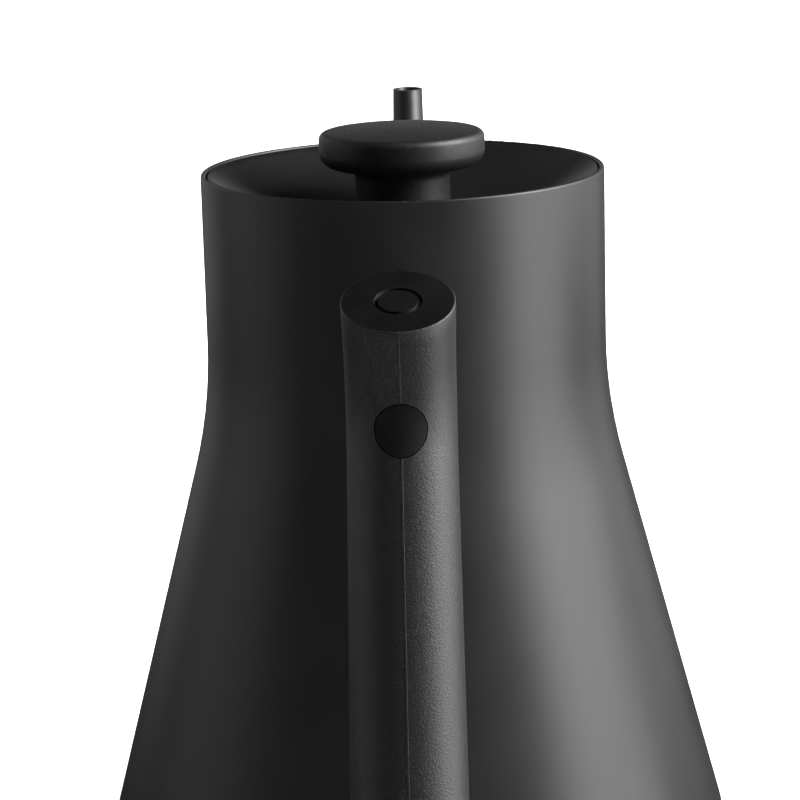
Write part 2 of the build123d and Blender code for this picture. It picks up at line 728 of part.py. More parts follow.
def handle_bar():
    """Outside of the handle: two slightly tapered runs joined by a round bend."""
    up, down = handle_planes()
    turn = radians(HANDLE_UPPER_TILT + HANDLE_LOWER_TILT)
    tangent = HANDLE_BEND_RADIUS * tan(turn / 2)
    upper = loft(
        [
            up.offset(tangent) * Circle(HANDLE_WAIST_RADIUS),
            up.offset(HANDLE_UPPER_LENGTH) * Circle(HANDLE_TOP_RADIUS),
        ]
    )
    lower = loft(
        [
            down.offset(tangent) * Circle(HANDLE_WAIST_RADIUS),
            down.offset(HANDLE_LOWER_LENGTH) * Circle(HANDLE_BOTTOM_RADIUS),
        ]
    )
    corner = Polyline(
        up.offset(HANDLE_UPPER_LENGTH).origin,
        up.origin,
        down.offset(HANDLE_LOWER_LENGTH).origin,
    )
    bend = FilletPolyline(*corner.vertices(), radius=HANDLE_BEND_RADIUS)
    arc = bend.edges().filter_by(GeomType.CIRCLE)[0]
    bent = sweep(up.offset(tangent) * Circle(HANDLE_WAIST_RADIUS), arc)
    return upper + bent + lower


def web_faces():
    """Distances from the body's axis to the front and back of the web the screw clamps."""
    front_surface = HANDLE_REACH - HANDLE_WAIST_RADIUS
    front = front_surface + ARM_SEAT_DEPTH + bend_offset()
    return front, front + HANDLE_WEB


def bend_offset():
    """How far the round bend keeps the handle's line from the corner of its two runs."""
    half_turn = radians(HANDLE_UPPER_TILT + HANDLE_LOWER_TILT) / 2
    return HANDLE_BEND_RADIUS / cos(half_turn) - HANDLE_BEND_RADIUS


def handle_grip(bar):
    """Moulded grip, seated on the arm, counterbored for its screw and bored for a weight."""
    up, down = handle_planes()
    front, back = web_faces()
    grip = bar - extrude(
        down.offset(HANDLE_LOWER_LENGTH - END_CAP_WALL) * Circle(2 * HANDLE_BOTTOM_RADIUS),
        2 * END_CAP_WALL,
    )
    top_edge = grip.edges().filter_by(GeomType.CIRCLE).sort_by(up_axis(up))[-1]
    grip = fillet(top_edge, HANDLE_EDGE)
    grip -= along_arm(ARM_RADIUS + SLIP_CLEARANCE, front - 2 * ARM_SEAT_DEPTH, front)
    grip -= along_arm(HANDLE_SCREW_RADIUS + SCREW_CLEARANCE, front, back)
    grip -= along_arm(PLUG_RADIUS + SLIP_CLEARANCE, back, BACK)
    bore = down.offset(WEIGHT_START) * Circle(WEIGHT_RADIUS + SLIP_CLEARANCE)
    grip -= extrude(bore, HANDLE_LOWER_LENGTH - WEIGHT_START)
    mark = Circle(MARK_RADIUS) - Circle(MARK_RADIUS - MARK_WIDTH)
    face = up.offset(HANDLE_UPPER_LENGTH - MARK_DEPTH)
    return grip - extrude(face * mark, 2 * MARK_DEPTH)


def up_axis(plane):
    """Axis along a plane's normal."""
    return Axis(plane.origin, plane.z_dir)


def handle_weight():
    """Steel rod in the grip's lower run, which balances the full kettle in the hand."""
    down = handle_planes()[1]
    return extrude(down.offset(WEIGHT_START) * Circle(WEIGHT_RADIUS), WEIGHT_LENGTH)


def handle_end_cap(bar):
    """Cap that closes the grip's lower end, with a spigot in the weight's bore."""
    down = handle_planes()[1]
    joint = HANDLE_LOWER_LENGTH - END_CAP_WALL
    cap = bar & extrude(
        down.offset(joint) * Circle(2 * HANDLE_BOTTOM_RADIUS), 2 * END_CAP_WALL
    )
    cap = fillet(cap.edges().sort_by(up_axis(down))[-1], END_CAP_EDGE)
    spigot = extrude(
        down.offset(joint - END_CAP_SPIGOT) * Circle(WEIGHT_RADIUS), END_CAP_SPIGOT
    )
    return cap + spigot


def arm_boss(envelope):
    """Threaded boss welded to the neck."""
    boss_end = RIM_RADIUS + ARM_BOSS_LENGTH
    boss = along_arm(ARM_BOSS_RADIUS, RIM_RADIUS - ARM_BOSS_RADIUS, boss_end)
    tip = web_faces()[1] - HANDLE_SCREW_LENGTH - SLIP_CLEARANCE
    hole = along_arm(HANDLE_SCREW_RADIUS + THREAD_CLEARANCE, tip, boss_end)
    return boss - envelope - hole


def handle_arm(envelope):
    """Cast arm between the neck and the grip, slipped over the boss."""
    front = web_faces()[0]
    start = RIM_RADIUS - ARM_ROOT_RADIUS
    taper_end = front - ARM_SEAT_DEPTH - ARM_COLLAR
    arm = along_arm(ARM_ROOT_RADIUS, start, taper_end, ARM_RADIUS)
    arm += along_arm(ARM_RADIUS, taper_end, front)
    boss_room = RIM_RADIUS + ARM_BOSS_LENGTH + SLIP_CLEARANCE
    arm -= along_arm(ARM_BOSS_RADIUS + SLIP_CLEARANCE, start, boss_room)
    return arm - envelope - along_arm(HANDLE_SCREW_RADIUS + SCREW_CLEARANCE, start, front)


def handle_screw():
    """Cap screw through the grip and the arm into the boss."""
    head_seat = web_faces()[1] + HANDLE_WASHER_WALL
    head_end = head_seat + HANDLE_SCREW_HEAD_HEIGHT
    body = along_arm(HANDLE_SCREW_HEAD_RADIUS, head_seat, head_end)
    body += along_arm(HANDLE_SCREW_RADIUS, head_seat - HANDLE_SCREW_LENGTH, head_seat)
    socket = Plane(origin=(0, -head_end, ARM_HEIGHT), z_dir=(0, 1, 0)) * RegularPolygon(
        HANDLE_SCREW_SOCKET, 6
    )
    return body - extrude(socket, HANDLE_SCREW_HEAD_HEIGHT / 2)


def handle_washer():
    """Washer under the handle screw's head."""
    back = web_faces()[1]
    washer = along_arm(HANDLE_WASHER_RADIUS, back, back + HANDLE_WASHER_WALL)
    hole = HANDLE_SCREW_RADIUS + SLIP_CLEARANCE
    return washer - along_arm(hole, back, back + HANDLE_WASHER_WALL)


def screw_plug(bar):
    """Silicone plug over the handle screw, its face following the handle's curve."""
    head_end = web_faces()[1] + HANDLE_WASHER_WALL + HANDLE_SCREW_HEAD_HEIGHT
    return along_arm(PLUG_RADIUS, head_end + SLIP_CLEARANCE, BACK) & bar


def lid_dish():
    """Pressed lid top: a shallow dish with a flat seat for the knob and a short skirt."""
    low = DISH_HEIGHT - LID_SHEET
    skirt_end = LID_TOP - LID_SKIRT
    brow = LID_RADIUS - LID_EDGE_RADIUS
    top_edge = LID_TOP - LID_EDGE_RADIUS
    corner = LID_EDGE_RADIUS * (1 - cos(pi / 4))
    outline = (
        Line((0, DISH_HEIGHT), (DISH_FLAT_RADIUS, DISH_HEIGHT))
        + RadiusArc((DISH_FLAT_RADIUS, DISH_HEIGHT), (brow, LID_TOP), -DISH_RADIUS)
        + ThreePointArc(
            (brow, LID_TOP), (LID_RADIUS - corner, LID_TOP - corner), (LID_RADIUS, top_edge)
        )
        + Polyline(
            (LID_RADIUS, top_edge),
            (LID_RADIUS, skirt_end),
            (LID_SKIRT_BORE, skirt_end),
            (LID_SKIRT_BORE, LID_TOP - LID_BROW),
        )
        + RadiusArc(
            (LID_SKIRT_BORE, LID_TOP - LID_BROW),
            (DISH_FLAT_RADIUS, low),
            DISH_RADIUS + LID_SHEET,
        )
        + Polyline((DISH_FLAT_RADIUS, low), (0, low), (0, DISH_HEIGHT))
    )
    screw_hole = disc(KNOB_SCREW_RADIUS + SCREW_CLEARANCE, low, DISH_HEIGHT)
    vent = post((0, VENT_PLACE), VENT_RADIUS, low, LID_TOP)
    return turned(outline) - screw_hole - vent


def lid_liner():
    """Stepped cup under the dish: it rests on the seat and reaches down through it."""
    sheet = LINER_SHEET
    step = SEAT_TOP
    rim = LID_TOP - LID_BROW - LINER_RIM_GAP
    outline = Polyline(
        (0, LINER_BOTTOM),
        (LINER_LOWER_RADIUS, LINER_BOTTOM),
        (LINER_LOWER_RADIUS, step),
        (LID_SKIRT_BORE, step),
        (LID_SKIRT_BORE, rim),
        (LID_SKIRT_BORE - sheet, rim),
        (LID_SKIRT_BORE - sheet, step + sheet),
        (LINER_LOWER_RADIUS - sheet, step + sheet),
        (LINER_LOWER_RADIUS - sheet, LINER_BOTTOM + sheet),
        (0, LINER_BOTTOM + sheet),
        close=True,
    )
    plate_top = LINER_BOTTOM + sheet
    screw_hole = disc(KNOB_SCREW_RADIUS + SCREW_CLEARANCE, LINER_BOTTOM, plate_top)
    vent = post((0, -VENT_PLACE), VENT_RADIUS, LINER_BOTTOM, plate_top)
    return turned(outline) - screw_hole - vent


def lid_seal():
    """Silicone ring round the liner, with three lips that steady the lid in the neck."""
    top = RIM_HEIGHT - LID_SEAL_DROP
    tip = NECK_BORE_RADIUS - LID_SEAL_CLEARANCE
    root = tip - LID_SEAL_LIP
    pitch = LID_SEAL_HEIGHT / LID_SEAL_LIPS
    points = [(LID_SKIRT_BORE, top), (root, top)]
    for lip in range(LID_SEAL_LIPS):
        lip_top = top - lip * pitch
        points.append((tip, lip_top - pitch / 2))
        points.append((root, lip_top - pitch))
    points.append((LID_SKIRT_BORE, top - LID_SEAL_HEIGHT))
    return turned(Polyline(*points, close=True))


def lid_spacer():
    """Tube that keeps the liner's bottom and the dish apart under the knob screw."""
    low = LINER_BOTTOM + LINER_SHEET
    return ring(SPACER_BORE_RADIUS, SPACER_RADIUS, low, DISH_HEIGHT - LID_SHEET)


def knob():
    """Moulded knob: a flat button on a straight stem, bored for its insert."""
    top = RIM_HEIGHT + KNOB_RISE
    under = RIM_HEIGHT + KNOB_UNDERSIDE_RISE
    belly = KNOB_UNDERCUT_RADIUS
    belly_radius = KNOB_RADIUS - belly
    belly_corner = belly * sin(pi / 4)
    edge = KNOB_EDGE_RADIUS
    edge_corner = edge * (1 - cos(pi / 4))
    neck = KNOB_STEM_RADIUS + KNOB_FILLET_RADIUS
    fillet_corner = KNOB_FILLET_RADIUS * (1 - sin(pi / 4))
    outline = (
        ThreePointArc((0, top + KNOB_DOME), *dome_points(top))
        + ThreePointArc(
            (KNOB_RADIUS - edge, top),
            (KNOB_RADIUS - edge_corner, top - edge_corner),
            (KNOB_RADIUS, top - edge),
        )
        + Line((KNOB_RADIUS, top - edge), (KNOB_RADIUS, under + belly))
        + ThreePointArc(
            (KNOB_RADIUS, under + belly),
            (belly_radius + belly_corner, under + belly - belly_corner),
            (belly_radius, under),
        )
        + Line((belly_radius, under), (neck, under))
        + ThreePointArc(
            (neck, under),
            (KNOB_STEM_RADIUS + fillet_corner, under - fillet_corner),
            (KNOB_STEM_RADIUS, under - KNOB_FILLET_RADIUS),
        )
        + Polyline(
            (KNOB_STEM_RADIUS, under - KNOB_FILLET_RADIUS),
            (KNOB_STEM_RADIUS, DISH_HEIGHT),
            (0, DISH_HEIGHT),
            (0, top + KNOB_DOME),
        )
    )
    return turned(outline) - disc(INSERT_RADIUS, DISH_HEIGHT, DISH_HEIGHT + INSERT_HEIGHT)


def dome_points(top):
    """Middle and end of the very shallow arc across the knob's top."""
    end = KNOB_RADIUS - KNOB_EDGE_RADIUS
    return (end / 2, top + KNOB_DOME * 0.75), (end, top)


def knob_insert():
    """Threaded brass insert moulded into the knob."""
    body = disc(INSERT_RADIUS, DISH_HEIGHT, DISH_HEIGHT + INSERT_HEIGHT)
    hole = KNOB_SCREW_RADIUS + THREAD_CLEARANCE
    return body - disc(hole, DISH_HEIGHT, DISH_HEIGHT + KNOB_SCREW_GRIP + SLIP_CLEARANCE)


def knob_screw():
    """Screw from under the lid, through liner, spacer and dish into the knob's insert."""
    seat = LINER_BOTTOM - KNOB_WASHER_WALL
    low = seat - KNOB_SCREW_HEAD_HEIGHT
    body = disc(KNOB_SCREW_HEAD_RADIUS, low, seat)
    body += disc(KNOB_SCREW_RADIUS, seat, DISH_HEIGHT + KNOB_SCREW_GRIP)
    return body - disc(SCREW_RECESS_RADIUS, low, low + SCREW_RECESS_DEPTH)


def knob_washer():
    """Washer between the knob screw's head and the liner."""
    hole = KNOB_SCREW_RADIUS + SLIP_CLEARANCE
    return ring(hole, KNOB_WASHER_RADIUS, LINER_BOTTOM - KNOB_WASHER_WALL, LINER_BOTTOM)


def build():
    """Every piece of the kettle, by node name."""
    envelope = body_envelope()
    spout_bore = spout_solid(SPOUT_WALL)
    bar = handle_bar()
    contacts = [live_pin(), neutral_ring(), earth_ring(), signal_ring()]
    blades = connector_blades()
    ear_screws = [screw(place, EAR_HEIGHT, SCREW_GRIP) for place in ear_places()]
    cover_screw_seat = COVER_TOP - SLIP_CLEARANCE
    cover_grip = COVER_BOSS_TOP - cover_screw_seat + SCREW_GRIP
    cover_screws = [
        screw(place, cover_screw_seat, cover_grip) for place in cover_screw_places()
    ]
    return {
        "body_shell": body_shell(spout_bore),
        "lid_seat": lid_seat(),
        "spout_tube": spout_tube(spout_bore, envelope),
        "flow_restrictor": flow_restrictor(spout_bore),
        "chamber_floor": chamber_floor(),
        "heat_spreader": heat_spreader(),
        "heating_element": heating_element(),
        "element_tabs": element_tabs(),
        "pillars": pillars(),
        "temperature_probe": temperature_probe(),
        "probe_grommet": probe_grommet(),
        "connector_housing": connector_housing(contacts, blades),
        "connector_screws": ear_screws,
        "connector_blades": blades,
        "live_pin": contacts[0],
        "neutral_ring": contacts[1],
        "earth_ring": contacts[2],
        "signal_ring": contacts[3],
        "thermal_cutouts": thermal_cutouts(),
        "live_lead": power_lead(1, LIVE_BLADE_ANGLE),
        "neutral_lead": power_lead(-1, NEUTRAL_BLADE_ANGLE),
        "earth_lead": earth_lead(),
        "probe_lead": probe_lead(),
        "base_cover": base_cover(),
        "base_seal": base_seal(),
        "base_screws": cover_screws,
        "foot_ring": foot_ring(),
        "arm_boss": arm_boss(envelope),
        "handle_arm": handle_arm(envelope),
        "handle_grip": handle_grip(bar),
        "handle_weight": handle_weight(),
        "handle_end_cap": handle_end_cap(bar),
        "handle_screw": handle_screw(),
        "handle_washer": handle_washer(),
        "screw_plug": screw_plug(bar),
        "lid_dish": lid_dish(),
        "lid_liner": lid_liner(),
        "lid_seal": lid_seal(),
        "lid_spacer": lid_spacer(),
        "knob": knob(),
        "knob_insert": knob_insert(),
        "knob_screw": knob_screw(),
        "knob_washer": knob_washer(),
    }


os.makedirs("parts", exist_ok=True)
for name, shape in build().items():
    solids = shape if isinstance(shape, list) else shape.solids()
    whole = Compound(children=[solid for part in solids for solid in part.solids()])
    export_step(whole, f"parts/{name}.step")
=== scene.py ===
"""Looks of a cordless gooseneck kettle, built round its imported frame.

Every length is in metres unless its name ends in _mm. The frame's origin is on the
body's axis at the foot ring; +Z is up, +Y is the spout's side and -Y the handle's.
"""

import json
import logging
import math
from dataclasses import dataclass
from enum import Enum
from typing import ClassVar

import bpy
from mathutils import Matrix, Vector

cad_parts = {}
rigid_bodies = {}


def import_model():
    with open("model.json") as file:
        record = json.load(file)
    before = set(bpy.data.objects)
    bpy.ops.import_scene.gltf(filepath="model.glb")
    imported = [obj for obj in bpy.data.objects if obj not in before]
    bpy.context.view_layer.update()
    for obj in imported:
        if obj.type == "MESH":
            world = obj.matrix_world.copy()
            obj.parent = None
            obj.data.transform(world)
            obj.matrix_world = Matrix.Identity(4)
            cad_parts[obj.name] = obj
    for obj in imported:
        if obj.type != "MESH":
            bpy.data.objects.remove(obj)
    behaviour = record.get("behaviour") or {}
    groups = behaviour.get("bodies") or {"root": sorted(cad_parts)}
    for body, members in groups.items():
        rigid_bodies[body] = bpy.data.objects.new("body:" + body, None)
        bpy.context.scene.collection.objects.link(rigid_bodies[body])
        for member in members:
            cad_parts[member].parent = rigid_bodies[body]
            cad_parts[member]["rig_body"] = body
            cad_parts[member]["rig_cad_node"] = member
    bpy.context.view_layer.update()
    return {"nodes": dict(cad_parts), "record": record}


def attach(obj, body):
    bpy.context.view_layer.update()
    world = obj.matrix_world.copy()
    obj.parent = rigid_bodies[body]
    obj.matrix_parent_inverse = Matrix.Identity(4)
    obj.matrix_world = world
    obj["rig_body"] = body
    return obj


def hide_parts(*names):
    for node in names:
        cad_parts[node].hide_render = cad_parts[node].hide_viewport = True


LOG = logging.getLogger("kettle")
MM = 0.001


# ---------------------------------------------------------------- small tools


def linear_colour(code: str) -> tuple[float, float, float, float]:
    """Turns an sRGB hex colour into the linear one that shaders take.

    Args:
        code: Six hex digits after a hash sign.

    Returns:
        Linear red, green, blue and an alpha of 1.
    """
    channels = [int(code[place : place + 2], 16) / 255 for place in (1, 3, 5)]
    linear = [
        channel / 12.92 if channel <= 0.04045 else ((channel + 0.055) / 1.055) ** 2.4
        for channel in channels
    ]
    return (linear[0], linear[1], linear[2], 1.0)


def pattern_scale(size_mm: float) -> float:
    """Gives the texture scale, in object metres, of a pattern of a real size."""
    return 1000.0 / size_mm


def add_node(
    tree: bpy.types.NodeTree,
    kind: str,
    inputs: dict[str | int, object] | None = None,
    **settings: object,
) -> bpy.types.Node:
    """Adds one shader node.

    Args:
        tree: The node tree that it goes into.
        kind: The node's type name, without its ShaderNode prefix.
        inputs: Input name or place to a value, or to an output socket to link from.
        **settings: Attributes of the node itself.

    Returns:
        The new node.
    """
    node = tree.nodes.new("ShaderNode" + kind)
    for name, value in settings.items():
        setattr(node, name, value)
    for name, value in (inputs or {}).items():
        if isinstance(value, bpy.types.NodeSocket):
            tree.links.new(value, node.inputs[name])
        else:
            node.inputs[name].default_value = value
    return node


def add_noise(
    tree: bpy.types.NodeTree,
    place: bpy.types.NodeSocket,
    size_mm: float,
    detail: float = 2.0,
    roughness: float = 0.5,
) -> bpy.types.NodeSocket:
    """Adds a noise pattern of a real size.

    Args:
        tree: The material's node tree.
        place: The coordinates that it is laid on.
        size_mm: The size of its largest features.
        detail: How many finer layers it has.
        roughness: How strong each finer layer is beside the one above it.

    Returns:
        The pattern's strength, from 0 to 1.
    """
    noise = add_node(
        tree,
        "TexNoise",
        {
            "Vector": place,
            "Scale": pattern_scale(size_mm),
            "Detail": detail,
            "Roughness": roughness,
        },
    )
    return noise.outputs["Fac"]


def add_bump(
    tree: bpy.types.NodeTree,
    height: bpy.types.NodeSocket,
    depth_mm: float,
    under: bpy.types.NodeSocket | None = None,
) -> bpy.types.NodeSocket:
    """Adds a bump of a real depth.

    Args:
        tree: The material's node tree.
        height: The pattern that it follows.
        depth_mm: Its depth where the pattern goes from 0 to 1.
        under: The normal of a bump that it lies on, if there is one.

    Returns:
        The bumped normal.
    """
    inputs = {"Height": height, "Distance": depth_mm * MM, "Strength": 1.0}
    if under is not None:
        inputs["Normal"] = under
    return add_node(tree, "Bump", inputs).outputs["Normal"]


# ------------------------------------------------------------------- finishes


@dataclass(frozen=True)
class Finish:
    """A surface finish: what the material is and how its surface was made."""

    name: str
    colour: str
    roughness: float
    metallic: float = 0.0
    ior: float = 1.5
    specular: float = 0.5
    pattern_low: ClassVar[float] = 0.3
    pattern_high: ClassVar[float] = 0.7

    def build(self) -> bpy.types.Material:
        """Makes the finish's material.

        Returns:
            A material whose shader holds the constants and whose detail nodes vary them.
        """
        material = bpy.data.materials.new(self.name)
        material.use_nodes = True
        tree = material.node_tree
        tree.nodes.clear()
        shader = add_node(
            tree,
            "BsdfPrincipled",
            {
                "Base Color": linear_colour(self.colour),
                "Roughness": self.roughness,
                "Metallic": self.metallic,
                "IOR": self.ior,
                "Specular IOR Level": self.specular,
            },
        )
        add_node(tree, "OutputMaterial", {"Surface": shader.outputs["BSDF"]})
        place = add_node(tree, "TexCoord").outputs["Object"]
        self.add_detail(tree, shader, place)
        return material

    def add_detail(
        self,
        tree: bpy.types.NodeTree,
        shader: bpy.types.Node,
        place: bpy.types.NodeSocket,
    ) -> None:
        """Adds the finish's own pattern; a plain finish has none.

        Args:
            tree: The material's node tree.
            shader: The principled shader.
            place: The object's own coordinates.
        """

    def vary_roughness(
        self,
        tree: bpy.types.NodeTree,
        shader: bpy.types.Node,
        factor: bpy.types.NodeSocket,
        spread: float,
    ) -> None:
        """Lets roughness run a little either side of its usual value.

        Args:
            tree: The material's node tree.
            shader: The principled shader.
            factor: A pattern from 0 to 1.
            spread: How far roughness goes either way.
        """
        ramp = add_node(
            tree,
            "MapRange",
            {
                "Value": factor,
                "From Min": self.pattern_low,
                "From Max": self.pattern_high,
                "To Min": self.roughness - spread,
                "To Max": self.roughness + spread,
            },
        )
        tree.links.new(ramp.outputs["Result"], shader.inputs["Roughness"])

    def vary_colour(
        self,
        tree: bpy.types.NodeTree,
        shader: bpy.types.Node,
        factor: bpy.types.NodeSocket,
        other: str,
    ) -> None:
        """Lets the colour run between its usual value and another one.

        Args:
            tree: The material's node tree.
            shader: The principled shader.
            factor: A pattern from 0 to 1.
            other: The other colour, as sRGB hex.
        """
        mix = add_node(
            tree,
            "Mix",
            {0: factor, 6: linear_colour(self.colour), 7: linear_colour(other)},
            data_type="RGBA",
        )
        tree.links.new(mix.outputs[2], shader.inputs["Base Color"])


@dataclass(frozen=True)
class BakedCoating(Finish):
    """Matte coating sprayed on steel and baked: a low soft sheen over faint orange peel."""

    cloud_mm: float = 30.0
    cloud_spread: float = 0.025
    peel_mm: float = 2.6
    peel_depth_mm: float = 0.004
    tooth_mm: float = 0.45
    tooth_depth_mm: float = 0.0016
    dust_colour: str = "#1c1c1d"

    def add_detail(
        self,
        tree: bpy.types.NodeTree,
        shader: bpy.types.Node,
        place: bpy.types.NodeSocket,
    ) -> None:
        """Adds orange peel, the fine tooth of the matting agent and cloudy gloss.

        Args:
            tree: The material's node tree.
            shader: The principled shader.
            place: The object's own coordinates.
        """
        cloud = add_noise(tree, place, self.cloud_mm, detail=3.0)
        self.vary_roughness(tree, shader, cloud, self.cloud_spread)
        self.vary_colour(tree, shader, cloud, self.dust_colour)
        peel = add_noise(tree, place, self.peel_mm, detail=1.0)
        tooth = add_noise(tree, place, self.tooth_mm)
        waves = add_bump(tree, peel, self.peel_depth_mm)
        grit = add_bump(tree, tooth, self.tooth_depth_mm, under=waves)
        tree.links.new(grit, shader.inputs["Normal"])


@dataclass(frozen=True)
class SparkErodedMoulding(Finish):
    """Black nylon from a spark-eroded mould: an even pebbled grain, with painted highlight
    glints on its tops.

    The real pits are about 0.1 mm across. They are drawn several times coarser, because
    at their own size they would not show.
    """

    grain_mm: float = 0.4
    grain_depth_mm: float = 0.095
    grain_spread: float = 0.09
    # Paler colour painted on the grain's tops: painted highlight glints, not a colour of
    # the nylon itself.
    painted_glint_colour: str = "#2b2b2c"
    painted_glint_low: float = 0.55
    painted_glint_high: float = 0.75

    def add_detail(
        self,
        tree: bpy.types.NodeTree,
        shader: bpy.types.Node,
        place: bpy.types.NodeSocket,
    ) -> None:
        """Adds the grain's pits, a finer roughness in them and a paler colour on the
        grain's tops, which is painted highlight.

        Args:
            tree: The material's node tree.
            shader: The principled shader.
            place: The object's own coordinates.
        """
        pits = add_noise(tree, place, self.grain_mm, detail=3.0, roughness=0.6)
        self.vary_roughness(tree, shader, pits, self.grain_spread)
        # The grain's tops get the paler colour: painted highlight glints.
        painted_glint_mask = add_node(
            tree,
            "MapRange",
            {"Value": pits, "From Min": self.painted_glint_low, "From Max": self.painted_glint_high},
        )
        self.vary_colour(tree, shader, painted_glint_mask.outputs["Result"], self.painted_glint_colour)
        bump = add_bump(tree, pits, self.grain_depth_mm)
        tree.links.new(bump, shader.inputs["Normal"])


@dataclass(frozen=True)
class SpunSteel(Finish):
    """Drawn and polished stainless steel: fine scratches that run round the axis."""

    scratch_mm: float = 0.22
    scratch_depth_mm: float = 0.0015
    wander_mm: float = 14.0
    wander_spread: float = 0.05

    def add_detail(
        self,
        tree: bpy.types.NodeTree,
        shader: bpy.types.Node,
        place: bpy.types.NodeSocket,
    ) -> None:
        """Adds scratches that depend on radius and height alone, so that they ring it.

        Args:
            tree: The material's node tree.
            shader: The principled shader.
            place: The object's own coordinates.
        """
        parts = add_node(tree, "SeparateXYZ", {"Vector": place}).outputs
        flat = add_node(tree, "CombineXYZ", {"X": parts["X"], "Y": parts["Y"]})
        radius = add_node(
            tree, "VectorMath", {0: flat.outputs["Vector"]}, operation="LENGTH"
        )
        line = add_node(
            tree, "CombineXYZ", {"X": radius.outputs["Value"], "Y": parts["Z"]}
        )
        wander = add_noise(tree, place, self.wander_mm)
        self.vary_roughness(tree, shader, wander, self.wander_spread)
        scratches = add_noise(tree, line.outputs["Vector"], self.scratch_mm, detail=3.0)
        bump = add_bump(tree, scratches, self.scratch_depth_mm)
        tree.links.new(bump, shader.inputs["Normal"])


@dataclass(frozen=True)
class CloudedFinish(Finish):
    """A moulded, plated or machined surface with a fine tooth and cloudy gloss."""

    tooth_mm: float = 0.3
    tooth_depth_mm: float = 0.004
    cloud_mm: float = 9.0
    cloud_spread: float = 0.05
    other_colour: str = "#202020"

    def add_detail(
        self,
        tree: bpy.types.NodeTree,
        shader: bpy.types.Node,
        place: bpy.types.NodeSocket,
    ) -> None:
        """Adds the tooth, the cloudy gloss and a slight drift of colour.

        Args:
            tree: The material's node tree.
            shader: The principled shader.
            place: The object's own coordinates.
        """
        cloud = add_noise(tree, place, self.cloud_mm, detail=3.0)
        self.vary_roughness(tree, shader, cloud, self.cloud_spread)
        self.vary_colour(tree, shader, cloud, self.other_colour)
        tooth = add_noise(tree, place, self.tooth_mm)
        bump = add_bump(tree, tooth, self.tooth_depth_mm)
        tree.links.new(bump, shader.inputs["Normal"])


class Surface(Enum):
    """The finishes on this kettle, each named for its real material."""

    BODY_COATING = BakedCoating("baked_black_coating", "#101011", 0.41)
    STAINLESS = SpunSteel("drawn_stainless_steel", "#bdb9b4", 0.3, metallic=1.0)
    SHEATH = CloudedFinish(
        "heat_tinted_sheath", "#7d746b", 0.42, metallic=1.0, other_colour="#5e5148"
    )
    ALUMINIUM = CloudedFinish(
        "mill_finish_aluminium", "#c9cacc", 0.45, metallic=1.0, other_colour="#b7b8ba"
    )
    ZINC = CloudedFinish(
        "bright_zinc_plate", "#c4c3bd", 0.3, metallic=1.0, other_colour="#aeb0b2"
    )
    BLACK_OXIDE = CloudedFinish(
        "black_oxide_steel", "#1b1b1d", 0.45, metallic=0.6, other_colour="#242427"
    )
    BRASS = CloudedFinish(
        "machined_brass", "#c8a050", 0.28, metallic=1.0, other_colour="#b08a42"
    )
    # The grip's grain tops carry a paler colour: painted highlight glints.
    GRIP = SparkErodedMoulding("spark_eroded_nylon", "#161617", 0.46)
    POLISHED = CloudedFinish(
        "polished_nylon", "#121213", 0.27, tooth_depth_mm=0.002, other_colour="#151516"
    )
    # The knob's grain tops carry a paler colour too: painted highlight glints.
    KNOB = SparkErodedMoulding(
        "fine_grained_phenolic",
        "#151516",
        0.48,
        grain_mm=0.6,
        grain_depth_mm=0.035,
        painted_glint_colour="#202021",
    )
    BASE = CloudedFinish("moulded_black_nylon", "#141415", 0.55, tooth_depth_mm=0.01)
    CONNECTOR = CloudedFinish(
        "dark_grey_thermoset", "#303135", 0.5, other_colour="#3a3b3f"
    )
    SILICONE = CloudedFinish(
        "black_silicone", "#09090a", 0.6, ior=1.41, specular=0.22, other_colour="#0d0d0e"
    )
    CLEAR_SILICONE = CloudedFinish(
        "milky_silicone", "#cfcdc6", 0.5, other_colour="#c2bfb6"
    )
    LIVE = CloudedFinish("brown_insulation", "#5c3a22", 0.5, other_colour="#4d2f1b")
    NEUTRAL = CloudedFinish("blue_insulation", "#21519b", 0.5, other_colour="#1b4585")
    EARTH = CloudedFinish("green_insulation", "#4a8a34", 0.5, other_colour="#c8b93a")
    SIGNAL = CloudedFinish("white_insulation", "#d8d6d0", 0.5, other_colour="#cbc8c0")


class Side(Enum):
    """A side of the grip: its back faces away from the body, its front faces it."""

    BACK = 1
    FRONT = -1


class Half(Enum):
    """A stretch of the grip, above its arm or below it."""

    UPPER = 1
    LOWER = -1


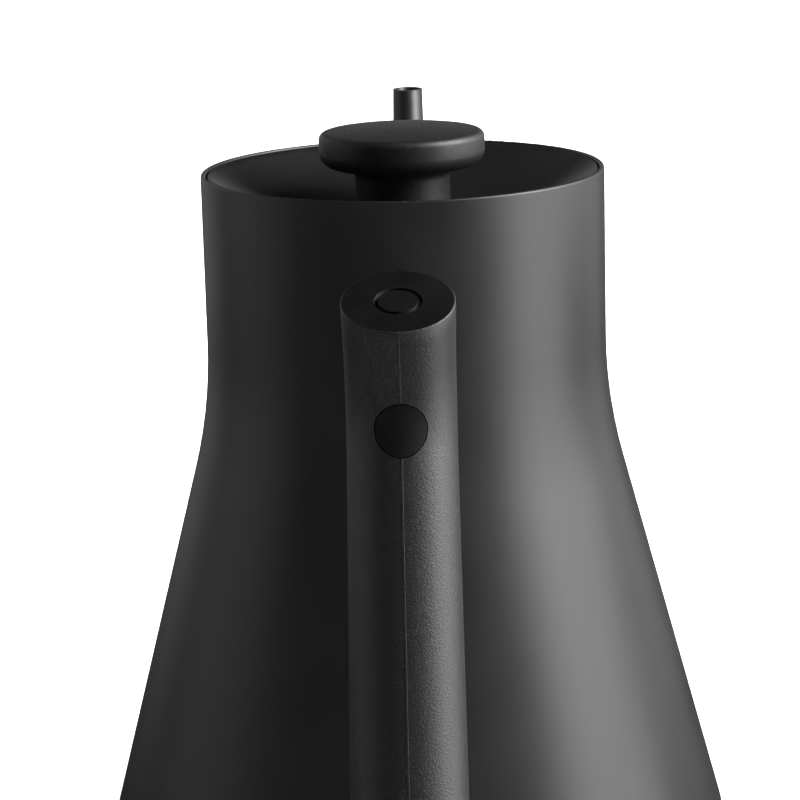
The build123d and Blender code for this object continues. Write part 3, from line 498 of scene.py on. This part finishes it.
class Dresser:
    """Makes each finish once and puts it on frame nodes and new pieces."""

    WELD_DISTANCE = 2e-6
    CREASE_DEGREES = 32.0

    def __init__(self, nodes: dict[str, bpy.types.Object], record: dict) -> None:
        """Keeps the frame's nodes and their slots, and starts with no material made.

        Args:
            nodes: The frame's nodes by name.
            record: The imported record, which gives each node's material slot.
        """
        self.nodes = nodes
        self.slots = {part["node"]: part["material_slot"] for part in record["subparts"]}
        self.made: dict[Surface, bpy.types.Material] = {}

    def material(self, surface: Surface) -> bpy.types.Material:
        """Gives a finish's material, made the first time it is asked for.

        Args:
            surface: The finish.

        Returns:
            The material, the same one each time.
        """
        if surface not in self.made:
            self.made[surface] = surface.value.build()
        return self.made[surface]

    def dress(self, piece: bpy.types.Object, surface: Surface) -> None:
        """Puts one finish on the whole of a piece.

        Args:
            piece: A frame node or a new piece.
            surface: The finish that it gets.
        """
        piece.data.materials.clear()
        piece.data.materials.append(self.material(surface))

    def skin(self, surface: Surface, name: str) -> bpy.types.Object:
        """Stands a welded copy in for a frame node, so that light runs over it unbroken.

        A node's patches are loose from each other, which would show as a crease.

        Args:
            surface: The finish that the copy gets.
            name: The frame node that it stands for.

        Returns:
            The copy, riding where the node did.
        """
        node = self.nodes[name]
        bpy.ops.object.select_all(action="DESELECT")
        node.select_set(True)
        bpy.context.view_layer.objects.active = node
        bpy.ops.object.duplicate()
        piece = bpy.context.object
        piece.name = f"{name}_skin"
        del piece["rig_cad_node"]
        bpy.ops.mesh.customdata_custom_splitnormals_clear()
        bpy.ops.object.mode_set(mode="EDIT")
        bpy.ops.mesh.select_all(action="SELECT")
        bpy.ops.mesh.remove_doubles(threshold=self.WELD_DISTANCE)
        bpy.ops.object.mode_set(mode="OBJECT")
        bpy.ops.object.shade_smooth_by_angle(angle=math.radians(self.CREASE_DEGREES))
        self.dress(piece, surface)
        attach(piece, node["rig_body"])
        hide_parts(name)
        LOG.info("skinned %s as %s", name, surface.value.name)
        return piece

    def dress_nodes(self, surface: Surface, *names: str) -> None:
        """Puts one finish on several frame nodes and reports each.

        Args:
            surface: The finish that they get.
            *names: The frame nodes.
        """
        for name in names:
            self.dress(self.nodes[name], surface)
            LOG.info("dressed %s as %s", name, surface.value.name)


# --------------------------------------------------------------- sub-assemblies


@dataclass
class Body:
    """The kettle's shell, the ring its lid rests on and the chamber's floor."""

    dresser: Dresser

    def build(self) -> None:
        """Dresses the shell and what is welded inside it."""
        self.dresser.skin(Surface.BODY_COATING, "body_shell")
        self.dresser.dress_nodes(
            Surface.STAINLESS, "lid_seat", "chamber_floor", "temperature_probe"
        )
        self.dresser.dress_nodes(Surface.CLEAR_SILICONE, "probe_grommet")


@dataclass
class Spout:
    """The gooseneck, the bead of its weld and the disc that slows its pour."""

    dresser: Dresser
    root_y: float = 0.0520
    root_height: float = 0.034
    rise_degrees: float = 28.95
    bead_place: float = 0.016
    bead_ring_radius: float = 0.0120
    bead_radius: float = 0.0009
    bead_points: int = 72
    bead_rounding: int = 3
    bead_weld_distance: float = 0.00001

    def build(self) -> None:
        """Dresses the tube outside and in, and runs the weld's bead round its root."""
        self.dresser.skin(Surface.BODY_COATING, "spout_tube")
        self.dresser.dress_nodes(Surface.STAINLESS, "flow_restrictor")
        bead = self.build_bead()
        self.dresser.dress(bead, Surface.BODY_COATING)
        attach(bead, "kettle")
        LOG.info("built %s", bead.name)

    def build_bead(self) -> bpy.types.Object:
        """Makes the weld bead where the spout leaves the shell.

        Returns:
            A round bead that follows the line where tube and shell meet.
        """
        rise = math.radians(self.rise_degrees)
        along = Vector((0.0, math.cos(rise), math.sin(rise)))
        centre = Vector((0.0, self.root_y, self.root_height)) + self.bead_place * along
        bpy.ops.object.select_all(action="DESELECT")
        bpy.ops.mesh.primitive_circle_add(
            vertices=self.bead_points,
            radius=self.bead_ring_radius,
            location=centre,
            rotation=(rise - math.pi / 2, 0.0, 0.0),
        )
        bead = bpy.context.object
        bead.name = "spout_weld"
        wrap = bead.modifiers.new("onto_shell", "SHRINKWRAP")
        wrap.target = bpy.data.objects["body_shell_skin"]
        wrap.wrap_method = "PROJECT"
        wrap.use_project_z = True
        wrap.use_negative_direction = True
        wrap.use_positive_direction = True
        bpy.ops.object.modifier_apply(modifier=wrap.name)
        bpy.ops.object.transform_apply(location=True, rotation=True, scale=True)
        bpy.ops.object.convert(target="CURVE")
        bead.data.bevel_depth = self.bead_radius
        bead.data.bevel_resolution = self.bead_rounding
        bpy.ops.object.convert(target="MESH")
        bpy.ops.object.mode_set(mode="EDIT")
        bpy.ops.mesh.select_all(action="SELECT")
        bpy.ops.mesh.remove_doubles(threshold=self.bead_weld_distance)
        bpy.ops.mesh.normals_make_consistent(inside=False)
        bpy.ops.object.mode_set(mode="OBJECT")
        bpy.ops.object.shade_smooth()
        return bead


@dataclass
class Handle:
    """The bent grip with its mould line, its arm, and its screw under a plug.

    The grip's line is two runs that meet at a round bend: one leans out above the arm,
    the other leans out below it.
    """

    dresser: Dresser
    reach: float = 0.0868
    bend_height: float = 0.1327
    arm_height: float = 0.1296
    upper_tilt_degrees: float = 21.0
    lower_tilt_degrees: float = 18.2
    upper_length: float = 0.0229
    lower_length: float = 0.1105
    bend_radius: float = 0.030
    top_radius: float = 0.01115
    waist_radius: float = 0.01095
    bottom_radius: float = 0.01188
    end_height: float = 0.149
    end_alignment: float = 0.99
    end_edge: float = 0.0004
    line_width: float = 0.00045
    line_proud: float = 0.00005
    line_sunk: float = 0.00025
    line_chamfer: float = 0.00005
    bend_steps: int = 24
    line_weld_distance: float = 0.000001
    plug_room: float = 0.0053
    arm_room: float = 0.0078

    def build(self) -> None:
        """Dresses the handle's pieces and runs the mould line down the grip."""
        grip = self.dresser.skin(Surface.GRIP, "handle_grip")
        self.polish_end(grip)
        self.dresser.skin(Surface.GRIP, "handle_end_cap")
        self.dresser.skin(Surface.BODY_COATING, "handle_arm")
        self.dresser.dress_nodes(Surface.SILICONE, "screw_plug")
        self.dresser.dress_nodes(Surface.STAINLESS, "arm_boss")
        self.dresser.dress_nodes(Surface.BLACK_OXIDE, "handle_screw", "handle_washer")
        self.dresser.dress_nodes(Surface.ZINC, "handle_weight")
        for side, room in ((Side.BACK, self.plug_room), (Side.FRONT, self.arm_room)):
            for half in (Half.UPPER, Half.LOWER):
                line = self.build_line(side, half, room)
                self.dresser.dress(line, Surface.GRIP)
                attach(line, "kettle")
                LOG.info("built %s", line.name)

    def build_line(self, side: Side, half: Half, room: float) -> bpy.types.Object:
        """Makes one stretch of the fine ridge left where the mould's halves met.

        Args:
            side: The grip's back, away from the body, or its front.
            half: The stretch above or below the arm and the plug.
            room: How far from the arm's height the stretch stops.

        Returns:
            A ridge that stands just proud of the grip along its middle.
        """
        upper = math.radians(self.upper_tilt_degrees)
        lower = math.radians(self.lower_tilt_degrees)
        bend = Vector((0.0, -self.reach, self.bend_height))
        up = Vector((0.0, -math.sin(upper), math.cos(upper)))
        down = Vector((0.0, -math.sin(lower), -math.cos(lower)))
        up_out = Vector((0.0, -math.cos(upper), -math.sin(upper)))
        down_out = Vector((0.0, -math.cos(lower), math.sin(lower)))
        tangent = self.bend_radius * math.tan((upper + lower) / 2)
        depth = self.line_proud + self.line_sunk
        inset = self.line_proud - depth / 2
        start = (
            bend
            + up * (self.upper_length - self.end_edge)
            + up_out * side.value * (self.top_radius + inset)
        )
        waist = up_out * side.value * (self.waist_radius + inset)
        above = bend + up * tangent + waist
        hub = bend + up * tangent + up_out * self.bend_radius
        below = bend + down * tangent + down_out * side.value * (self.waist_radius + inset)
        end = (
            bend
            + down * self.lower_length
            + down_out * side.value * (self.bottom_radius + inset)
        )
        bpy.ops.object.select_all(action="DESELECT")
        bpy.ops.mesh.primitive_plane_add(
            size=1.0, location=start, rotation=(math.pi + upper, 0.0, 0.0)
        )
        line = bpy.context.object
        line.name = f"grip_line_{side.name.lower()}_{half.name.lower()}"
        line.scale = (self.line_width, depth, 1.0)
        bpy.ops.object.transform_apply(location=True, rotation=True, scale=True)
        bpy.ops.object.mode_set(mode="EDIT")
        bpy.ops.mesh.select_all(action="DESELECT")
        bpy.ops.object.mode_set(mode="OBJECT")
        outward = up_out * side.value
        for corner in line.data.vertices:
            corner.select = (corner.co - start).dot(outward) > 0
        bpy.ops.object.mode_set(mode="EDIT")
        bpy.ops.mesh.select_mode(type="VERT")
        bpy.ops.mesh.bevel(offset=self.line_chamfer, affect="VERTICES")
        bpy.ops.mesh.select_all(action="SELECT")
        bpy.ops.mesh.extrude_region_move(
            TRANSFORM_OT_translate={"value": above - start}
        )
        bpy.ops.mesh.spin(
            steps=self.bend_steps,
            angle=upper + lower,
            center=hub,
            axis=(1.0, 0.0, 0.0),
        )
        bpy.ops.mesh.extrude_region_move(TRANSFORM_OT_translate={"value": end - below})
        bpy.ops.mesh.select_all(action="SELECT")
        bpy.ops.mesh.remove_doubles(threshold=self.line_weld_distance)
        bpy.ops.mesh.select_all(action="SELECT")
        bpy.ops.mesh.bisect(
            plane_co=(0.0, 0.0, self.arm_height + half.value * room),
            plane_no=(0.0, 0.0, float(half.value)),
            use_fill=True,
            clear_inner=True,
        )
        bpy.ops.mesh.select_all(action="SELECT")
        bpy.ops.mesh.normals_make_consistent(inside=False)
        bpy.ops.object.mode_set(mode="OBJECT")
        return line

    def polish_end(self, grip: bpy.types.Object) -> None:
        """Gives the grip's flat top end the smooth skin of a polished mould insert.

        Args:
            grip: The grip's welded copy.
        """
        grip.data.materials.append(self.dresser.material(Surface.POLISHED))
        tilt = math.radians(self.upper_tilt_degrees)
        outward = Vector((0.0, -math.sin(tilt), math.cos(tilt)))
        for face in grip.data.polygons:
            facing = face.normal.dot(outward) > self.end_alignment
            if facing and face.center.z > self.end_height:
                face.material_index = 1


@dataclass
class Lid:
    """The dished lid with its liner, seal and knob."""

    dresser: Dresser

    def build(self) -> None:
        """Dresses the lid's pieces."""
        self.dresser.skin(Surface.BODY_COATING, "lid_dish")
        self.dresser.dress_nodes(
            Surface.STAINLESS, "lid_liner", "lid_spacer", "knob_screw", "knob_washer"
        )
        self.dresser.dress_nodes(Surface.SILICONE, "lid_seal")
        self.dresser.skin(Surface.KNOB, "knob")
        self.dresser.dress_nodes(Surface.BRASS, "knob_insert")


@dataclass
class Base:
    """The base cover, its foot ring and the cordless connector."""

    dresser: Dresser

    def build(self) -> None:
        """Dresses everything under the chamber's floor."""
        self.dresser.skin(Surface.BASE, "base_cover")
        self.dresser.dress_nodes(Surface.SILICONE, "base_seal", "foot_ring")
        self.dresser.dress_nodes(
            Surface.ZINC, "base_screws", "connector_screws", "pillars", "element_tabs"
        )
        self.dresser.dress_nodes(Surface.CONNECTOR, "connector_housing")
        self.dresser.dress_nodes(
            Surface.BRASS,
            "live_pin",
            "neutral_ring",
            "earth_ring",
            "signal_ring",
            "connector_blades",
        )
        self.dresser.dress_nodes(Surface.STAINLESS, "thermal_cutouts")
        self.dresser.dress_nodes(Surface.ALUMINIUM, "heat_spreader")
        self.dresser.dress_nodes(Surface.SHEATH, "heating_element")
        self.dresser.dress_nodes(Surface.LIVE, "live_lead")
        self.dresser.dress_nodes(Surface.NEUTRAL, "neutral_lead")
        self.dresser.dress_nodes(Surface.EARTH, "earth_lead")
        self.dresser.dress_nodes(Surface.SIGNAL, "probe_lead")


# ----------------------------------------------------------------------- studio


@dataclass(frozen=True)
class SoftBox:
    """One rectangular soft light that stands round the kettle and faces its axis.

    Its turn is measured from the handle's side (0) by the right (90) to the spout's
    side (180).
    """

    name: str
    turn_degrees: float
    distance: float
    height: float
    width: float
    tall: float
    power: float
    aim_height: float = 0.12

    def build(self) -> bpy.types.Object:
        """Makes the light.

        Returns:
            The light's object, turned so that it faces the kettle's axis.
        """
        light = bpy.data.lights.new(self.name, "AREA")
        light.shape = "RECTANGLE"
        light.size = self.width
        light.size_y = self.tall
        light.energy = self.power
        lamp = bpy.data.objects.new(self.name, light)
        bpy.context.scene.collection.objects.link(lamp)
        turn = math.radians(self.turn_degrees)
        place = Vector(
            (
                self.distance * math.sin(turn),
                -self.distance * math.cos(turn),
                self.height,
            )
        )
        way = Vector((0.0, 0.0, self.aim_height)) - place
        facing = way.to_track_quat("-Z", "Y").to_matrix().to_4x4()
        lamp.matrix_world = Matrix.Translation(place) @ facing
        lamp.visible_camera = False
        return lamp


@dataclass
class Studio:
    """The pale floor, the soft lights and the camera."""

    camera_distance: float = 0.6372
    camera_height: float = 0.2643
    camera_turn_degrees: float = 0.9
    camera_pitch_degrees: float = 13.459
    camera_pan_degrees: float = -0.169
    camera_roll_degrees: float = -1.529
    lens_mm: float = 129.7
    sensor_mm: float = 36.0
    camera_clip: float = 0.01
    floor_span: float = 12.0
    floor_colour: str = "#f2f2f2"
    floor_drop: float = 0.0001
    floor_light_height: float = 4.0
    floor_light_power: float = 1500.0
    surround_colour: str = "#ffffff"
    boxes: tuple[SoftBox, ...] = (
        SoftBox("right_strip", 80.0, 0.6, 0.55, 0.34, 0.6, 9.6),
        SoftBox("right_low_strip", 68.0, 0.6, 0.36, 0.3, 0.7, 2.2),
        SoftBox("right_edge_strip", 103.0, 0.6, 0.4, 0.3, 0.7, 3.0),
        SoftBox("right_back_box", 132.0, 1.2, 0.45, 0.5, 1.3, 2.4),
        SoftBox("left_box", -92.0, 1.2, 0.45, 1.0, 1.3, 2.1),
        SoftBox("left_back_box", -140.0, 1.2, 0.45, 0.8, 1.3, 1.6),
        SoftBox("back_strip", 180.0, 2.2, 0.25, 2.0, 0.6, 3.0),
        SoftBox("table_card", 75.0, 0.34, 0.02, 0.25, 0.25, 0.66),
    )

    def build(self) -> None:
        """Makes the whole studio."""
        self.build_floor()
        self.build_surround()
        for box in self.boxes:
            box.build()
            LOG.info("lit %s", box.name)
        self.build_camera()

    def build_floor(self) -> None:
        """Makes the floor, and a wide ceiling panel that lights nothing but it.

        The floor stays out of the kettle's reflections, as a table does under black
        flags, so that the coating keeps its depth.
        """
        bpy.ops.object.select_all(action="DESELECT")
        bpy.ops.mesh.primitive_plane_add(
            size=self.floor_span, location=(0.0, 0.0, -self.floor_drop)
        )
        floor = bpy.context.object
        floor.name = "floor"
        paint = Finish("matt_white_paint", self.floor_colour, 0.9, specular=0.0)
        floor.data.materials.append(paint.build())
        floor.visible_glossy = False
        panel = bpy.data.lights.new("ceiling_panel", "AREA")
        panel.size = self.floor_span
        panel.energy = self.floor_light_power
        lamp = bpy.data.objects.new("ceiling_panel", panel)
        lamp.location = (0.0, 0.0, self.floor_light_height)
        lamp.visible_camera = False
        lamp.visible_glossy = False
        bpy.context.scene.collection.objects.link(lamp)
        lit = bpy.data.collections.new("lit_by_ceiling")
        lit.objects.link(floor)
        lamp.light_linking.receiver_collection = lit

    def build_surround(self) -> None:
        """Sets a white surround that shows behind the floor but lights nothing."""
        world = bpy.data.worlds.new("surround")
        world.use_nodes = True
        world.node_tree.nodes.clear()
        sky = add_node(
            world.node_tree,
            "Background",
            {"Color": linear_colour(self.surround_colour)},
        )
        add_node(
            world.node_tree, "OutputWorld", {"Surface": sky.outputs["Background"]}
        )
        bpy.context.scene.world = world
        world.cycles_visibility.diffuse = False
        world.cycles_visibility.glossy = False
        bpy.context.scene.view_settings.view_transform = "Standard"

    def build_camera(self) -> None:
        """Puts the camera behind the handle, looking a little down over the rim."""
        pitch = math.radians(self.camera_pitch_degrees)
        pan = math.radians(self.camera_pan_degrees)
        roll = math.radians(self.camera_roll_degrees)
        forward = Vector(
            (
                math.sin(pan) * math.cos(pitch),
                math.cos(pan) * math.cos(pitch),
                -math.sin(pitch),
            )
        )
        level = Vector((math.cos(pan), -math.sin(pan), 0.0))
        above = level.cross(forward)
        right = math.cos(roll) * level + math.sin(roll) * above
        up = math.cos(roll) * above - math.sin(roll) * level
        turn = Matrix.Rotation(math.radians(self.camera_turn_degrees), 4, "Z")
        axes = Matrix((right, up, -forward)).transposed().to_4x4()
        place = Matrix.Translation((0.0, -self.camera_distance, self.camera_height))
        lens = bpy.data.cameras.new("camera")
        lens.lens = self.lens_mm
        lens.sensor_width = self.sensor_mm
        lens.clip_start = self.camera_clip
        camera = bpy.data.objects.new("camera", lens)
        bpy.context.scene.collection.objects.link(camera)
        camera.matrix_world = turn @ place @ axes
        bpy.context.scene.camera = camera


def main() -> None:
    """Loads the frame, dresses every piece and sets the studio round it."""
    logging.basicConfig(level=logging.INFO, format="%(name)s: %(message)s")
    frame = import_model()
    dresser = Dresser(frame["nodes"], frame["record"])
    for assembly in (
        Body(dresser),
        Spout(dresser),
        Handle(dresser),
        Lid(dresser),
        Base(dresser),
        Studio(),
    ):
        assembly.build()
        LOG.info("built %s", type(assembly).__name__)


if __name__ == "__main__":
    main()
